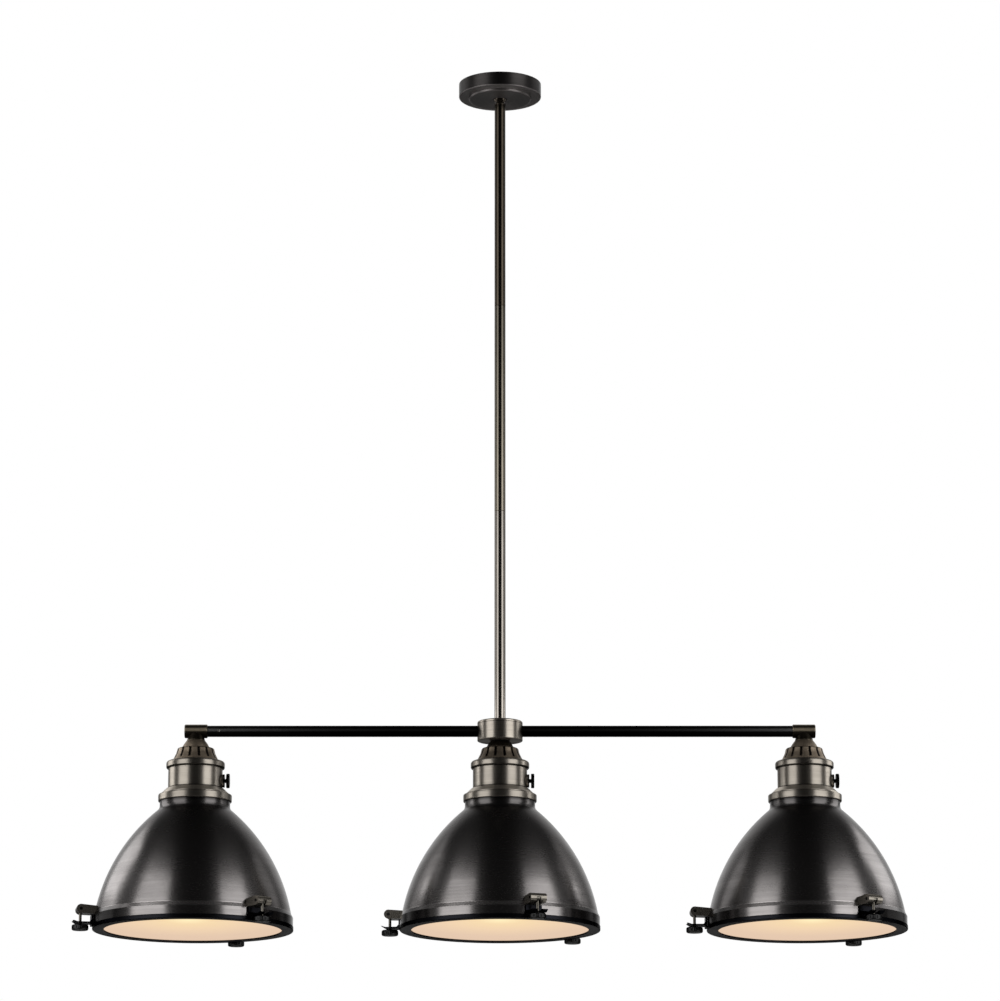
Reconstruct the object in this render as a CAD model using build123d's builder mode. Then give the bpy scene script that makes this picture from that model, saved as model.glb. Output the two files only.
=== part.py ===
from build123d import *
import os
from math import sqrt

# Three-light island pendant: a ceiling canopy and crossbar, a hang-straight swivel, a stem of three
# screwed rods, a hub with two arms, and three vented bell heads with clamped glass lenses.
# Millimetres, +Z up, origin on the ceiling plane in the middle of the crossbar's slots.

os.makedirs("parts", exist_ok=True)

# Fits: radial gaps of screwed and turning joints, and the gap between faces that pass each other
thread_gap = 0.05
running_gap = 0.06
face_gap = 0.3

# Canopy, a spun cup with a stepped face
canopy_d = 120.0
canopy_wall_h = 20.0
canopy_step_d = 90.0
canopy_step_h = 3.5
canopy_sheet = 1.2
canopy_edge_r = 1.5
canopy_hole_margin = 0.6

# Crossbar, a joggled strap with bent-down ends
strap_t = 2.0
strap_w = 18.0
strap_drop = 6.5
strap_bend_r = 2.0
strap_joggle_x = 21.0
strap_joggle_run = 6.0
strap_tab_h = 16.0
slot_spacing = 79.4
slot_length = 14.2
slot_w = 4.6

# Screws of the canopy and of the ground wire
canopy_screw_d = 4.0
canopy_screw_l = 9.0
canopy_screw_z = -12.0
ground_screw_x = 15.5
ground_screw_d = 3.2
ground_head_d = 7.0
ground_head_h = 2.4
ground_screw_l = 7.0
drive_slot_w = 0.8
drive_slot_depth = 0.9

# Swivel: a ball split into a fork and a tongue on one cross pin
ball_d = 20.0
ball_lift = 3.8
swivel_pin_d = 5.0
swivel_pin_l = 16.6
tongue_t = 8.0
tongue_eye_d = 14.0
tongue_top_gap = 0.6
tongue_collar_h = 2.2
tongue_spigot_l = 14.0
nipple_d = 9.6
nipple_bore_d = 6.0
nipple_head_room = 1.5
swivel_nut_flats = 17.0
swivel_nut_h = 4.5
nut_bearing_gap = 0.1

# Stem rods
rod_d = 15.9
rod_wall = 1.5
rod_length = 304.8
rod_count = 3
rod_edge = 0.4
coupling_l = 28.0
coupling_bore_d = 8.0

# Hub
hub_d = 64.0
hub_h = 28.0
hub_wall = 4.0
hub_floor = 3.0
hub_lid_h = 3.8
hub_spigot_h = 1.6
hub_edge_r = 2.6
hub_foot_edge = 0.5
hub_boss_wall = 7.0
lock_nut_h = 4.5
stem_nut_flats = 20.0
nipple_tail = 1.5

# Arms and end fittings
arm_d = 15.9
arm_wall = 1.5
arm_tail = 1.0
head_pitch = 429.0
fitting_d = 19.5
fitting_l = 32.4
fitting_socket = 11.0
fitting_edge_r = 1.6
fitting_boss_top_d = 17.0
fitting_boss_d = 26.4
fitting_thread_l = 9.0

# Crown, the vented cap of a head
crown_h = 29.4
crown_wall = 2.2
crown_top_d = 26.4
dome_d = 39.0
dome_h = 10.0
dome_arc_r = 34.0
shoulder_d = 51.6
shoulder_drop = 0.9
shoulder_r = 3.0
skirt_waist_d = 54.6
skirt_waist_h = 11.6
skirt_waist_r = 20.0
skirt_d = 66.0
vent_count = 14
vent_w = 2.2
vent_foot = 3.6
vent_root_d = 41.0

# Housing: bead, cup wall, groove, cone and fitter band
housing_wall = 2.2
housing_plate_t = 2.5
bead_d = 82.4
bead_h = 10.5
bead_r = 3.6
bead_under_r = 2.2
cup_d = 76.4
cup_h = 27.0
groove_depth = 0.9
groove_h = 1.5
cone_top_d = 81.0
cone_d = 96.5
cone_h = 7.5
cone_edge_r = 1.2
band_lip_h = 1.2
band_d = 103.4
band_h = 9.8
band_edge_r = 1.2
crown_core_d = 44.0
crown_core_h = 14.5
crown_core_wall = 2.2

# Shade: neck, bell and hem
shade_wall = 1.5
neck_wall_clearance = 0.05
neck_insert = 6.5
neck_show = 10.6
neck_hole_d = 68.0
neck_r = 8.0
bell_d = 274.0
bell_h = 147.4
bell_arc_r = 249.5
hem_flare = 2.7
hem_flare_h = 5.5
hem_h = 12.0

# Lens ring and glass
ring_proud = 0.6
ring_h = 6.0
ring_rim_w = 8.9
ring_lip_w = 7.1
ring_lip_t = 2.0
ring_edge_r = 1.0
glass_t = 3.0
glass_side_gap = 0.4

# Ears of the lens ring
ear_w = 23.0
ear_t = 2.0
ear_drop = 0.6
ear_lift = 2.0
ear_past_bolt = 4.4
ear_slot_gap = 0.5
ear_tip_run = 4.6
ear_tip_rise = 1.6
ear_post_t = 2.4
ear_gusset = 3.0

# Clamps: bracket, pin, swing bolt and thumb nut
clamp_count = 3
clamp_reach = 20.4
clamp_pivot_h = 20.0
nose_d = 12.6
bracket_root_top = 2.6
bracket_root_drop = 7.6
clamp_pin_d = 4.0
clamp_pin_proud = 0.5
bolt_d = 4.0
bolt_eye_d = 9.2
bolt_eye_w = 5.4
bolt_end_in = 0.4
bolt_edge = 0.6
bolt_swing_gap = 0.6
bolt_slot_top = 0.8
thumb_nut_d = 23.4
thumb_nut_h = 7.7
thumb_edge_r = 1.6
knurl_sides = 12
knurl_turns = 3
knurl_depth = 0.25
thumb_boss_d = 11.0
thumb_boss_h = 0.8
thumb_nut_play = 0.8

# Rotary switch: bushing and knob on the side of each housing
switch_drop = 27.5
switch_pad_d = 18.6
switch_pad_out = 1.5
bushing_flange_t = 1.6
bushing_d = 9.0
bushing_l = 6.0
knob_shaft_d = 5.6
knob_shaft_in = 9.0
knob_neck = 2.4
knob_d = 20.4
knob_t = 4.6
knob_edge_r = 1.0

# Lamp holder and bulb
holder_cap_d = 30.0
holder_cap_h = 14.0
holder_d = 40.0
holder_h = 66.0
holder_edge_r = 2.0
holder_thread_l = 11.0
socket_d = 26.4
socket_depth = 26.0
bulb_base_d = 26.0
bulb_neck_d = 29.0
bulb_globe_d = 60.0
bulb_l = 106.0
bulb_base_gap = 2.0

# Heads: name, place along the bar in head pitches, and turn of the first clamp from the front
heads = (("left", -1, 41.0), ("centre", 0, 19.0), ("right", 1, 31.0))

# Radii
canopy_r = canopy_d / 2
ball_r = ball_d / 2
nipple_r = nipple_d / 2
nipple_bore_r = nipple_bore_d / 2
swivel_pin_r = swivel_pin_d / 2
tongue_eye_r = tongue_eye_d / 2
rod_r = rod_d / 2
rod_bore_r = rod_r - rod_wall
coupling_r = rod_bore_r - thread_gap
hub_r = hub_d / 2
hub_cavity_r = hub_r - hub_wall
hub_boss_x = hub_r - hub_boss_wall
arm_r = arm_d / 2
neck_outer_r = band_d / 2 - housing_wall - neck_wall_clearance
bell_r = bell_d / 2
hem_outer_r = bell_r + hem_flare
ring_r = hem_outer_r + ring_proud
seat_r = ring_r - ring_rim_w
lip_r = seat_r - ring_lip_w
glass_r = seat_r - glass_side_gap
clamp_pin_r = clamp_pin_d / 2
bolt_r = bolt_d / 2
bolt_eye_r = bolt_eye_d / 2
nose_r = nose_d / 2
bushing_r = bushing_d / 2
knob_shaft_r = knob_shaft_d / 2

# Heights, from the ceiling down
canopy_depth = canopy_wall_h + canopy_step_h
swivel_z = ball_lift - canopy_depth
collar_top_z = swivel_z - ball_r - face_gap
rod_top_z = collar_top_z - tongue_collar_h
hub_top_z = rod_top_z - rod_count * rod_length
hub_seam_z = hub_top_z - hub_lid_h
hub_cavity_top_z = hub_seam_z - hub_spigot_h
hub_bottom_z = hub_top_z - hub_h
bar_z = hub_top_z - hub_h / 2
crown_top_z = hub_bottom_z
housing_top_z = crown_top_z - crown_h
cup_top_z = housing_top_z - bead_h
groove_top_z = cup_top_z - cup_h
cone_top_z = groove_top_z - groove_h
cone_bottom_z = cone_top_z - cone_h
band_top_z = cone_bottom_z - band_lip_h
band_bottom_z = band_top_z - band_h
neck_top_z = band_bottom_z + neck_insert
bell_top_z = band_bottom_z - neck_show
bell_bottom_z = bell_top_z - bell_h
hem_top_z = bell_bottom_z - hem_flare_h
hem_bottom_z = hem_top_z - hem_h
ring_bottom_z = hem_bottom_z - ring_h
lip_top_z = ring_bottom_z + ring_lip_t
clamp_z = hem_bottom_z + clamp_pivot_h
clamp_r = bell_r + clamp_reach
ear_root_top_z = hem_bottom_z - ear_drop
ear_root_bottom_z = ear_root_top_z - ear_t
ear_top_z = hem_bottom_z + ear_lift
ear_bottom_z = ear_top_z - ear_t
ear_post_top_z = clamp_z - bracket_root_drop - face_gap
boss_top_z = ear_bottom_z - thumb_nut_play
thumb_top_z = boss_top_z - thumb_boss_h
thumb_bottom_z = thumb_top_z - thumb_nut_h
bolt_l = clamp_z - thumb_bottom_z - bolt_end_in
switch_z = housing_top_z - switch_drop
pad_x = cup_d / 2 + switch_pad_out
holder_top_z = housing_top_z - housing_plate_t
holder_bottom_z = holder_top_z - holder_h
bulb_top_z = holder_bottom_z + socket_depth - bulb_base_gap


def save(part, label):
    """Name a finished piece and write it."""
    part.label = label
    export_step(part, f"parts/{label}.step")


def head_x(place):
    """The X of a head's axis."""
    return place * head_pitch


def clamp_places():
    """Each clamp's name and its place: the model's +X turned to the clamp's side of its head."""
    for head, place, first_turn in heads:
        for index in range(clamp_count):
            turn = first_turn + index * 360 / clamp_count - 90
            yield f"{head}_{index + 1}", Location((head_x(place), 0, 0), (0, 0, turn))


# Ceiling mount

with BuildPart() as canopy:
    with BuildSketch(Plane.XZ):
        with BuildLine():
            FilletPolyline(
                (canopy_r, 0),
                (canopy_r, -canopy_wall_h),
                (canopy_step_d / 2, -canopy_wall_h),
                (canopy_step_d / 2, -canopy_depth),
                (ball_r + canopy_hole_margin, -canopy_depth),
                radius=canopy_edge_r,
            )
            offset(amount=canopy_sheet, side=Side.RIGHT)
        make_face()
    revolve(axis=Axis.Z)
    with BuildSketch(Plane.YZ):
        with Locations((0, canopy_screw_z)):
            Circle(canopy_screw_d / 2 + thread_gap)
    extrude(amount=canopy_r, both=True, mode=Mode.SUBTRACT)
save(canopy.part, "canopy")

tab_x = sqrt((canopy_r - canopy_sheet) ** 2 - (strap_w / 2) ** 2) - face_gap - strap_t / 2
strap_half = [
    (tab_x, -strap_tab_h),
    (tab_x, -strap_t / 2),
    (strap_joggle_x + strap_joggle_run, -strap_t / 2),
    (strap_joggle_x, -strap_drop - strap_t / 2),
]
with BuildPart() as ceiling_crossbar:
    with BuildSketch(Plane.XZ):
        with BuildLine():
            FilletPolyline(*strap_half, *[(-x, z) for x, z in reversed(strap_half)], radius=strap_bend_r)
        trace(line_width=strap_t)
    extrude(amount=strap_w / 2, both=True)
    with BuildSketch():
        with GridLocations(slot_spacing, 0, 2, 1):
            SlotOverall(slot_length, slot_w)
    extrude(amount=-strap_t, mode=Mode.SUBTRACT)
    with BuildSketch(Plane.XY.offset(-strap_drop)):
        Circle(nipple_r + running_gap)
        with Locations((ground_screw_x, 0)):
            Circle(ground_screw_d / 2 + thread_gap)
    extrude(amount=-strap_t, mode=Mode.SUBTRACT)
    with BuildSketch(Plane.YZ):
        with Locations((0, canopy_screw_z)):
            Circle(canopy_screw_d / 2 + thread_gap)
    extrude(amount=canopy_r, both=True, mode=Mode.SUBTRACT)
save(ceiling_crossbar.part, "ceiling_crossbar")

with BuildPart() as crossbar_screws:
    for side in (-1, 1):
        with BuildSketch(Plane.YZ.offset(side * canopy_r)):
            with Locations((0, canopy_screw_z)):
                Circle(canopy_screw_d / 2)
        extrude(amount=-side * canopy_screw_l)
        with BuildSketch(Plane.YZ.offset(side * canopy_r)):
            with Locations((0, canopy_screw_z)):
                Rectangle(drive_slot_w, canopy_screw_d)
        extrude(amount=-side * drive_slot_depth, mode=Mode.SUBTRACT)
    with BuildSketch(Plane.XY.offset(-strap_drop - strap_t)):
        with Locations((ground_screw_x, 0)):
            RegularPolygon(ground_head_d / 2, 6)
    extrude(amount=-ground_head_h)
    with BuildSketch(Plane.XY.offset(-strap_drop - strap_t)):
        with Locations((ground_screw_x, 0)):
            Circle(ground_screw_d / 2)
    extrude(amount=ground_screw_l - ground_head_h)
save(crossbar_screws.part, "crossbar_screws")

# Swivel

fork_slot_w = tongue_t + 2 * face_gap
fork_slot_top_z = swivel_z + tongue_eye_r + tongue_top_gap
fork_slot_h = fork_slot_top_z - swivel_z + ball_r
nipple_top_z = -nipple_head_room
with BuildPart() as swivel_fork:
    with Locations((0, 0, swivel_z)):
        Sphere(ball_r)
    with BuildSketch(Plane.XY.offset(nipple_top_z)):
        Circle(nipple_r)
    extrude(amount=swivel_z - nipple_top_z)
    with BuildSketch(Plane.XZ):
        with Locations((0, fork_slot_top_z - fork_slot_h / 2)):
            Rectangle(fork_slot_w, fork_slot_h)
    extrude(amount=ball_r, both=True, mode=Mode.SUBTRACT)
    with BuildSketch(Plane.XY.offset(nipple_top_z)):
        Circle(nipple_bore_r)
    extrude(amount=fork_slot_top_z - nipple_top_z, mode=Mode.SUBTRACT)
    with BuildSketch(Plane.YZ):
        with Locations((0, swivel_z)):
            Circle(swivel_pin_r + thread_gap)
    extrude(amount=ball_r, both=True, mode=Mode.SUBTRACT)
save(swivel_fork.part, "swivel_fork")

with BuildPart() as swivel_pin:
    with BuildSketch(Plane.YZ):
        with Locations((0, swivel_z)):
            Circle(swivel_pin_r)
    extrude(amount=swivel_pin_l / 2, both=True)
save(swivel_pin.part, "swivel_pin")

with BuildPart() as swivel_lock_nut:
    with BuildSketch(Plane.XY.offset(nut_bearing_gap - strap_drop)):
        RegularPolygon(swivel_nut_flats / 2, 6, major_radius=False)
        Circle(nipple_r + thread_gap, mode=Mode.SUBTRACT)
    extrude(amount=swivel_nut_h)
save(swivel_lock_nut.part, "swivel_lock_nut")

tongue_h = swivel_z - collar_top_z
with BuildPart() as swivel_tongue:
    with BuildSketch(Plane.YZ):
        with Locations((0, swivel_z)):
            Circle(tongue_eye_r)
        with Locations((0, swivel_z - tongue_h / 2)):
            Rectangle(tongue_eye_d, tongue_h)
        with Locations((0, swivel_z)):
            Circle(swivel_pin_r + running_gap, mode=Mode.SUBTRACT)
    extrude(amount=tongue_t / 2, both=True)
    with BuildSketch(Plane.XY.offset(collar_top_z)):
        Circle(rod_r)
    extrude(amount=-tongue_collar_h)
    with BuildSketch(Plane.XY.offset(rod_top_z)):
        Circle(coupling_r)
    extrude(amount=-tongue_spigot_l)
save(swivel_tongue.part, "swivel_tongue")

# Stem

for index, name in enumerate(("rod_upper", "rod_middle", "rod_lower")):
    with BuildPart() as rod:
        with BuildSketch(Plane.XY.offset(rod_top_z - index * rod_length)):
            Circle(rod_r)
            Circle(rod_bore_r, mode=Mode.SUBTRACT)
        extrude(amount=-rod_length)
        chamfer(rod.edges().filter_by(GeomType.CIRCLE).sort_by(SortBy.RADIUS)[-2:], rod_edge)
    save(rod.part, name)

stem_nipple_l = coupling_l / 2 + hub_lid_h + hub_spigot_h + lock_nut_h + nipple_tail
hub_nipple_up = hub_floor + lock_nut_h + nipple_tail
head_nipple_up = (fitting_thread_l, hub_nipple_up, fitting_thread_l)
head_nipple_down = crown_h + housing_plate_t + holder_thread_l
with BuildPart() as threaded_nipples:
    for index in range(1, rod_count):
        with BuildSketch(Plane.XY.offset(rod_top_z - index * rod_length + coupling_l / 2)):
            Circle(coupling_r)
            Circle(coupling_bore_d / 2, mode=Mode.SUBTRACT)
        extrude(amount=-coupling_l)
    with BuildSketch(Plane.XY.offset(hub_top_z + coupling_l / 2)):
        Circle(coupling_r)
        Circle(coupling_bore_d / 2, mode=Mode.SUBTRACT)
    extrude(amount=-stem_nipple_l)
    for (head, place, first_turn), reach_up in zip(heads, head_nipple_up):
        with BuildSketch(Plane.XY.offset(crown_top_z + reach_up)):
            with Locations((head_x(place), 0)):
                Circle(nipple_r)
                Circle(nipple_bore_r, mode=Mode.SUBTRACT)
        extrude(amount=-reach_up - head_nipple_down)
save(threaded_nipples.part, "threaded_nipples")

# Hub

with BuildPart() as hub_lid:
    with BuildSketch(Plane.XY.offset(hub_seam_z)):
        Circle(hub_r)
    extrude(amount=hub_lid_h)
    fillet(hub_lid.edges().filter_by(GeomType.CIRCLE).sort_by(Axis.Z)[-1], hub_edge_r)
    with BuildSketch(Plane.XY.offset(hub_seam_z)):
        Circle(hub_cavity_r - thread_gap)
    extrude(amount=-hub_spigot_h)
    with BuildSketch(Plane.XY.offset(hub_top_z)):
        Circle(coupling_r + thread_gap)
    extrude(amount=-hub_lid_h - hub_spigot_h, mode=Mode.SUBTRACT)
save(hub_lid.part, "hub_lid")

with BuildPart() as hub_body:
    with BuildSketch(Plane.XY.offset(hub_bottom_z)):
        Circle(hub_r)
    extrude(amount=hub_seam_z - hub_bottom_z)
    chamfer(hub_body.edges().filter_by(GeomType.CIRCLE).sort_by(Axis.Z)[0], hub_foot_edge)
    with BuildSketch(Plane.XY.offset(hub_seam_z)):
        Circle(hub_cavity_r)
    extrude(amount=-hub_spigot_h, mode=Mode.SUBTRACT)
    with BuildSketch(Plane.XY.offset(hub_cavity_top_z)):
        Circle(hub_cavity_r)
        Rectangle(2 * hub_boss_x, hub_d, mode=Mode.INTERSECT)
    extrude(amount=hub_bottom_z + hub_floor - hub_cavity_top_z, mode=Mode.SUBTRACT)
    with BuildSketch(Plane.YZ):
        with Locations((0, bar_z)):
            Circle(arm_r + thread_gap)
    extrude(amount=hub_r, both=True, mode=Mode.SUBTRACT)
    with BuildSketch(Plane.XY.offset(hub_bottom_z)):
        Circle(nipple_r + thread_gap)
    extrude(amount=hub_floor, mode=Mode.SUBTRACT)
save(hub_body.part, "hub_body")

# Arms, lock nuts and end fittings

arm_start_x = hub_boss_x - arm_tail
fitting_inner_x = head_pitch - fitting_l / 2
for side, name in ((-1, "left"), (1, "right")):
    with BuildPart() as arm:
        with BuildSketch(Plane.YZ.offset(side * arm_start_x)):
            with Locations((0, bar_z)):
                Circle(arm_r)
                Circle(arm_r - arm_wall, mode=Mode.SUBTRACT)
        extrude(amount=side * (fitting_inner_x + fitting_socket - arm_start_x))
    save(arm.part, f"arm_{name}")

with BuildPart() as lock_nuts:
    with BuildSketch(Plane.XY.offset(hub_cavity_top_z)):
        RegularPolygon(stem_nut_flats / 2, 6, major_radius=False)
        Circle(coupling_r + thread_gap, mode=Mode.SUBTRACT)
    extrude(amount=-lock_nut_h)
    with BuildSketch(Plane.XY.offset(hub_bottom_z + hub_floor)):
        RegularPolygon(swivel_nut_flats / 2, 6, major_radius=False)
        Circle(nipple_r + thread_gap, mode=Mode.SUBTRACT)
    extrude(amount=lock_nut_h)
save(lock_nuts.part, "lock_nuts")

for side, name in ((-1, "left"), (1, "right")):
    with BuildPart() as end_fitting:
        with BuildSketch(Plane.YZ.offset(side * fitting_inner_x)):
            with Locations((0, bar_z)):
                Circle(fitting_d / 2)
        extrude(amount=side * fitting_l)
        fillet(end_fitting.edges().filter_by(GeomType.CIRCLE), fitting_edge_r)
        with BuildSketch(Plane.XY.offset(bar_z)):
            with Locations((side * head_pitch, 0)):
                Circle(fitting_boss_top_d / 2)
        with BuildSketch(Plane.XY.offset(crown_top_z)):
            with Locations((side * head_pitch, 0)):
                Circle(fitting_boss_d / 2)
        loft()
        with BuildSketch(Plane.YZ.offset(side * fitting_inner_x)):
            with Locations((0, bar_z)):
                Circle(arm_r + thread_gap)
        extrude(amount=side * fitting_socket, mode=Mode.SUBTRACT)
        with BuildSketch(Plane.YZ.offset(side * fitting_inner_x)):
            with Locations((0, bar_z)):
                Circle(nipple_bore_r)
        extrude(amount=side * fitting_l / 2, mode=Mode.SUBTRACT)
        with BuildSketch(Plane.XY.offset(crown_top_z)):
            with Locations((side * head_pitch, 0)):
                Circle(nipple_r + thread_gap)
        extrude(amount=fitting_thread_l, mode=Mode.SUBTRACT)
        with BuildSketch(Plane.XY.offset(crown_top_z)):
            with Locations((side * head_pitch, 0)):
                Circle(nipple_bore_r)
        extrude(amount=bar_z - crown_top_z, mode=Mode.SUBTRACT)
    save(end_fitting.part, f"end_fitting_{name}")

# Heads: each piece is made on the stem's axis and set out along the bar

with BuildPart() as crown:
    with BuildSketch(Plane.XZ):
        with BuildLine():
            Line((nipple_r + thread_gap, crown_top_z), (crown_top_d / 2, crown_top_z))
            dome_foot = (dome_d / 2, crown_top_z - dome_h)
            RadiusArc((crown_top_d / 2, crown_top_z), dome_foot, dome_arc_r)
            FilletPolyline(
                dome_foot,
                (shoulder_d / 2, crown_top_z - dome_h - shoulder_drop),
                (skirt_waist_d / 2, housing_top_z + skirt_waist_h),
                (skirt_d / 2, housing_top_z),
                radius=(shoulder_r, skirt_waist_r),
            )
            offset(amount=crown_wall, side=Side.RIGHT)
        make_face()
    revolve(axis=Axis.Z)
    split(bisect_by=Plane.XY.offset(housing_top_z))
    vent_l = skirt_d / 2 - vent_root_d / 2
    with BuildSketch(Plane.XY.offset(housing_top_z + vent_foot)):
        with PolarLocations(vent_root_d / 2 + vent_l / 2, vent_count, -90 + 180 / vent_count):
            Rectangle(vent_l, vent_w)
    extrude(amount=crown_h - vent_foot - dome_h + shoulder_r, mode=Mode.SUBTRACT)

cup_inner_r = cup_d / 2 - housing_wall
band_inner_r = band_d / 2 - housing_wall
housing_edges = [0, 0, 0, 0, 0, bead_r, bead_under_r, 0, 0, 0, 0]
housing_edges += [cone_edge_r, cone_edge_r, 0, band_edge_r, band_edge_r, 0, 0, 0, 0, 0]
with BuildPart() as housing:
    with BuildSketch(Plane.XZ):
        with BuildLine():
            FilletPolyline(
                (nipple_r + thread_gap, housing_top_z),
                (crown_core_d / 2 - crown_core_wall, housing_top_z),
                (crown_core_d / 2 - crown_core_wall, housing_top_z + crown_core_h),
                (crown_core_d / 2, housing_top_z + crown_core_h),
                (crown_core_d / 2, housing_top_z),
                (bead_d / 2, housing_top_z),
                (bead_d / 2, cup_top_z),
                (cup_d / 2, cup_top_z),
                (cup_d / 2, groove_top_z),
                (cup_d / 2 - groove_depth, groove_top_z),
                (cup_d / 2 - groove_depth, cone_top_z),
                (cone_top_d / 2, cone_top_z),
                (cone_d / 2, cone_bottom_z),
                (cone_d / 2 - cone_edge_r, band_top_z),
                (band_d / 2, band_top_z),
                (band_d / 2, band_bottom_z),
                (band_inner_r, band_bottom_z),
                (band_inner_r, neck_top_z),
                (cup_inner_r, cone_top_z),
                (cup_inner_r, housing_top_z - housing_plate_t),
                (nipple_r + thread_gap, housing_top_z - housing_plate_t),
                radius=housing_edges,
                close=True,
            )
        make_face()
    revolve(axis=Axis.Z)
    with BuildSketch(Plane.YZ.offset(cup_inner_r)):
        with Locations((0, switch_z)):
            Circle(switch_pad_d / 2)
    extrude(amount=pad_x - cup_inner_r)
    with BuildSketch(Plane.YZ.offset(cup_inner_r - housing_wall)):
        with Locations((0, switch_z)):
            Circle(bushing_r + thread_gap)
    extrude(amount=pad_x - cup_inner_r + housing_wall, mode=Mode.SUBTRACT)


def bell_profile(outside):
    """The shade's outer line from the neck to the hem, in the XZ plane."""
    Line((outside + neck_outer_r, neck_top_z), (outside + neck_outer_r, bell_top_z))
    RadiusArc(
        (outside + neck_outer_r, bell_top_z),
        (outside + bell_r, bell_bottom_z),
        bell_arc_r,
    )
    Line((outside + bell_r, bell_bottom_z), (outside + hem_outer_r, hem_top_z))
    Line((outside + hem_outer_r, hem_top_z), (outside + hem_outer_r, hem_bottom_z))


with BuildPart() as shade:
    with BuildSketch(Plane.XZ):
        with BuildLine() as shade_line:
            Line((neck_hole_d / 2, neck_top_z), (neck_outer_r, neck_top_z))
            bell_profile(0)
            fillet(shade_line.vertices().sort_by(Axis.Y)[-3], neck_r)
            offset(amount=shade_wall, side=Side.RIGHT)
        make_face()
    revolve(axis=Axis.Z)

with BuildPart() as glass:
    with BuildSketch(Plane.XY.offset(lip_top_z)):
        Circle(glass_r)
    extrude(amount=glass_t)

# The lens ring carries one forked ear below each clamp

ear_reach = clamp_r + ear_past_bolt
with BuildPart() as ring_blank:
    with BuildSketch(Plane.XZ):
        with BuildLine():
            FilletPolyline(
                (lip_r, ring_bottom_z),
                (ring_r, ring_bottom_z),
                (ring_r, hem_bottom_z),
                (seat_r, hem_bottom_z),
                (seat_r, lip_top_z),
                (lip_r, lip_top_z),
                radius=(0, ring_edge_r, ring_edge_r, 0, 0, 0),
                close=True,
            )
        make_face()
    revolve(axis=Axis.Z)

with BuildPart() as ear:
    with BuildSketch(Plane.XZ):
        with BuildLine():
            Polyline(
                (seat_r, ear_root_top_z),
                (ring_r, ear_root_top_z),
                (ring_r, ear_post_top_z),
                (ring_r + ear_post_t, ear_post_top_z),
                (ring_r + ear_post_t, ear_top_z + ear_gusset),
                (ring_r + ear_post_t + ear_gusset, ear_top_z),
                (ear_reach, ear_top_z),
                (ear_reach + ear_tip_run, ear_top_z + ear_tip_rise),
                (ear_reach + ear_tip_run + ear_t, ear_top_z + ear_tip_rise),
                (ear_reach + ear_t / 2, ear_bottom_z),
                (ring_r + ear_post_t, ear_bottom_z),
                (ring_r + ear_post_t, ear_root_bottom_z),
                (seat_r, ear_root_bottom_z),
                close=True,
            )
        make_face()
    extrude(amount=ear_w / 2, both=True)
    slot_r = bolt_r + ear_slot_gap
    slot_end = ear_reach + ear_tip_run + ear_t
    with BuildSketch(Plane.XY.offset(ear_bottom_z)):
        with Locations((clamp_r, 0)):
            Circle(slot_r)
        with Locations(((clamp_r + slot_end) / 2, 0)):
            Rectangle(slot_end - clamp_r, 2 * slot_r)
    extrude(amount=ear_t + ear_tip_rise, mode=Mode.SUBTRACT)

# Clamp bracket: a nosed arm standing off the bell, slotted below and in front for the bolt's eye

with BuildPart() as bell_body:
    with BuildSketch(Plane.XZ):
        with BuildLine():
            bell_profile(thread_gap)
            Polyline(
                (thread_gap + hem_outer_r, hem_bottom_z),
                (0, hem_bottom_z),
                (0, neck_top_z),
                (thread_gap + neck_outer_r, neck_top_z),
            )
        make_face()
    revolve(axis=Axis.Z)

bolt_slot_r = bolt_r + bolt_swing_gap
eye_slot_w = bolt_eye_w + 2 * face_gap
with BuildPart() as bracket:
    with BuildSketch(Plane.XZ):
        with Locations((clamp_r, clamp_z)):
            Circle(nose_r)
        with BuildLine():
            Polyline(
                (clamp_r, clamp_z + nose_r),
                (bell_r - clamp_reach, clamp_z + bracket_root_top),
                (bell_r - clamp_reach, clamp_z - bracket_root_drop),
                (clamp_r, clamp_z - nose_r),
                close=True,
            )
        make_face()
    extrude(amount=ear_w / 2, both=True)
    with BuildSketch(Plane.XZ):
        with Locations((clamp_r, clamp_z)):
            Circle(bolt_eye_r + face_gap)
        with Locations((clamp_r + (nose_d - bolt_slot_r) / 2, clamp_z - (nose_d - bolt_slot_top) / 2)):
            Rectangle(nose_d + bolt_slot_r, nose_d + bolt_slot_top)
    extrude(amount=eye_slot_w / 2, both=True, mode=Mode.SUBTRACT)
    with BuildSketch(Plane.XZ):
        with Locations((clamp_r, clamp_z)):
            Circle(clamp_pin_r + thread_gap)
    extrude(amount=ear_w / 2, both=True, mode=Mode.SUBTRACT)
    add(bell_body.part, mode=Mode.SUBTRACT)

with BuildPart() as clamp_pin:
    with BuildSketch(Plane.XZ):
        with Locations((clamp_r, clamp_z)):
            Circle(clamp_pin_r)
    extrude(amount=ear_w / 2 + clamp_pin_proud, both=True)

with BuildPart() as swing_bolt:
    with BuildSketch(Plane.XY.offset(clamp_z)):
        with Locations((clamp_r, 0)):
            Circle(bolt_r)
    extrude(amount=-bolt_l)
    chamfer(swing_bolt.edges().filter_by(GeomType.CIRCLE).sort_by(Axis.Z)[0], bolt_edge)
    with BuildSketch(Plane.XZ):
        with Locations((clamp_r, clamp_z)):
            Circle(bolt_eye_r)
    extrude(amount=bolt_eye_w / 2, both=True)
    with BuildSketch(Plane.XZ):
        with Locations((clamp_r, clamp_z)):
            Circle(clamp_pin_r + running_gap)
    extrude(amount=bolt_eye_w / 2, both=True, mode=Mode.SUBTRACT)

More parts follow.
